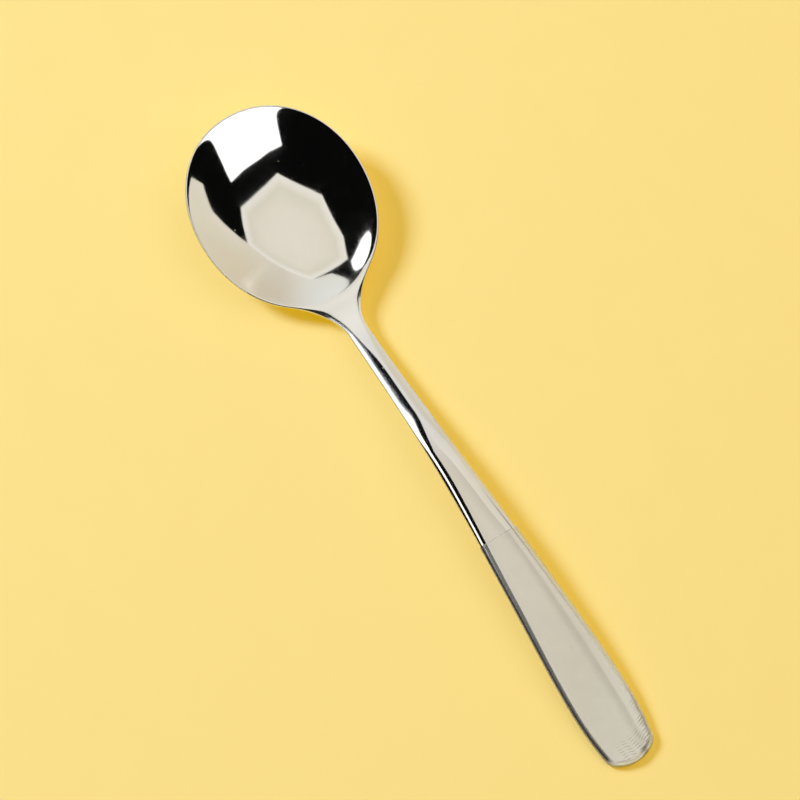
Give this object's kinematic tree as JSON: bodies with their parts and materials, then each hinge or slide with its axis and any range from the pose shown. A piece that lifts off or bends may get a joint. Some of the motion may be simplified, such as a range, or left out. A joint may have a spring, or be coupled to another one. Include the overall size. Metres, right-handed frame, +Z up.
{
  "type": "soup spoon",
  "caption": "Round-bowl soup spoon of mirror-polished stainless steel, lying on a table, with a clear protective film sleeve on the outer part of its handle.",
  "frame": {"origin": "centre of the spoon's box, on the table that it lies on", "axes": "+X along the spoon, from the bowl to the end of the handle; +Y across it; +Z up, out of the open side of the bowl"},
  "size_m": [0.1796, 0.045, 0.013],
  "materials": {
    "polished_steel": "mirror-polished stainless steel with fine polishing lines",
    "clear_film": "thin clear shrink film, slightly hazy and wrinkled"
  },
  "bodies": {
    "root": {"spoon": "polished_steel", "film_sleeve": "clear_film"}
  },
  "joints": []
}
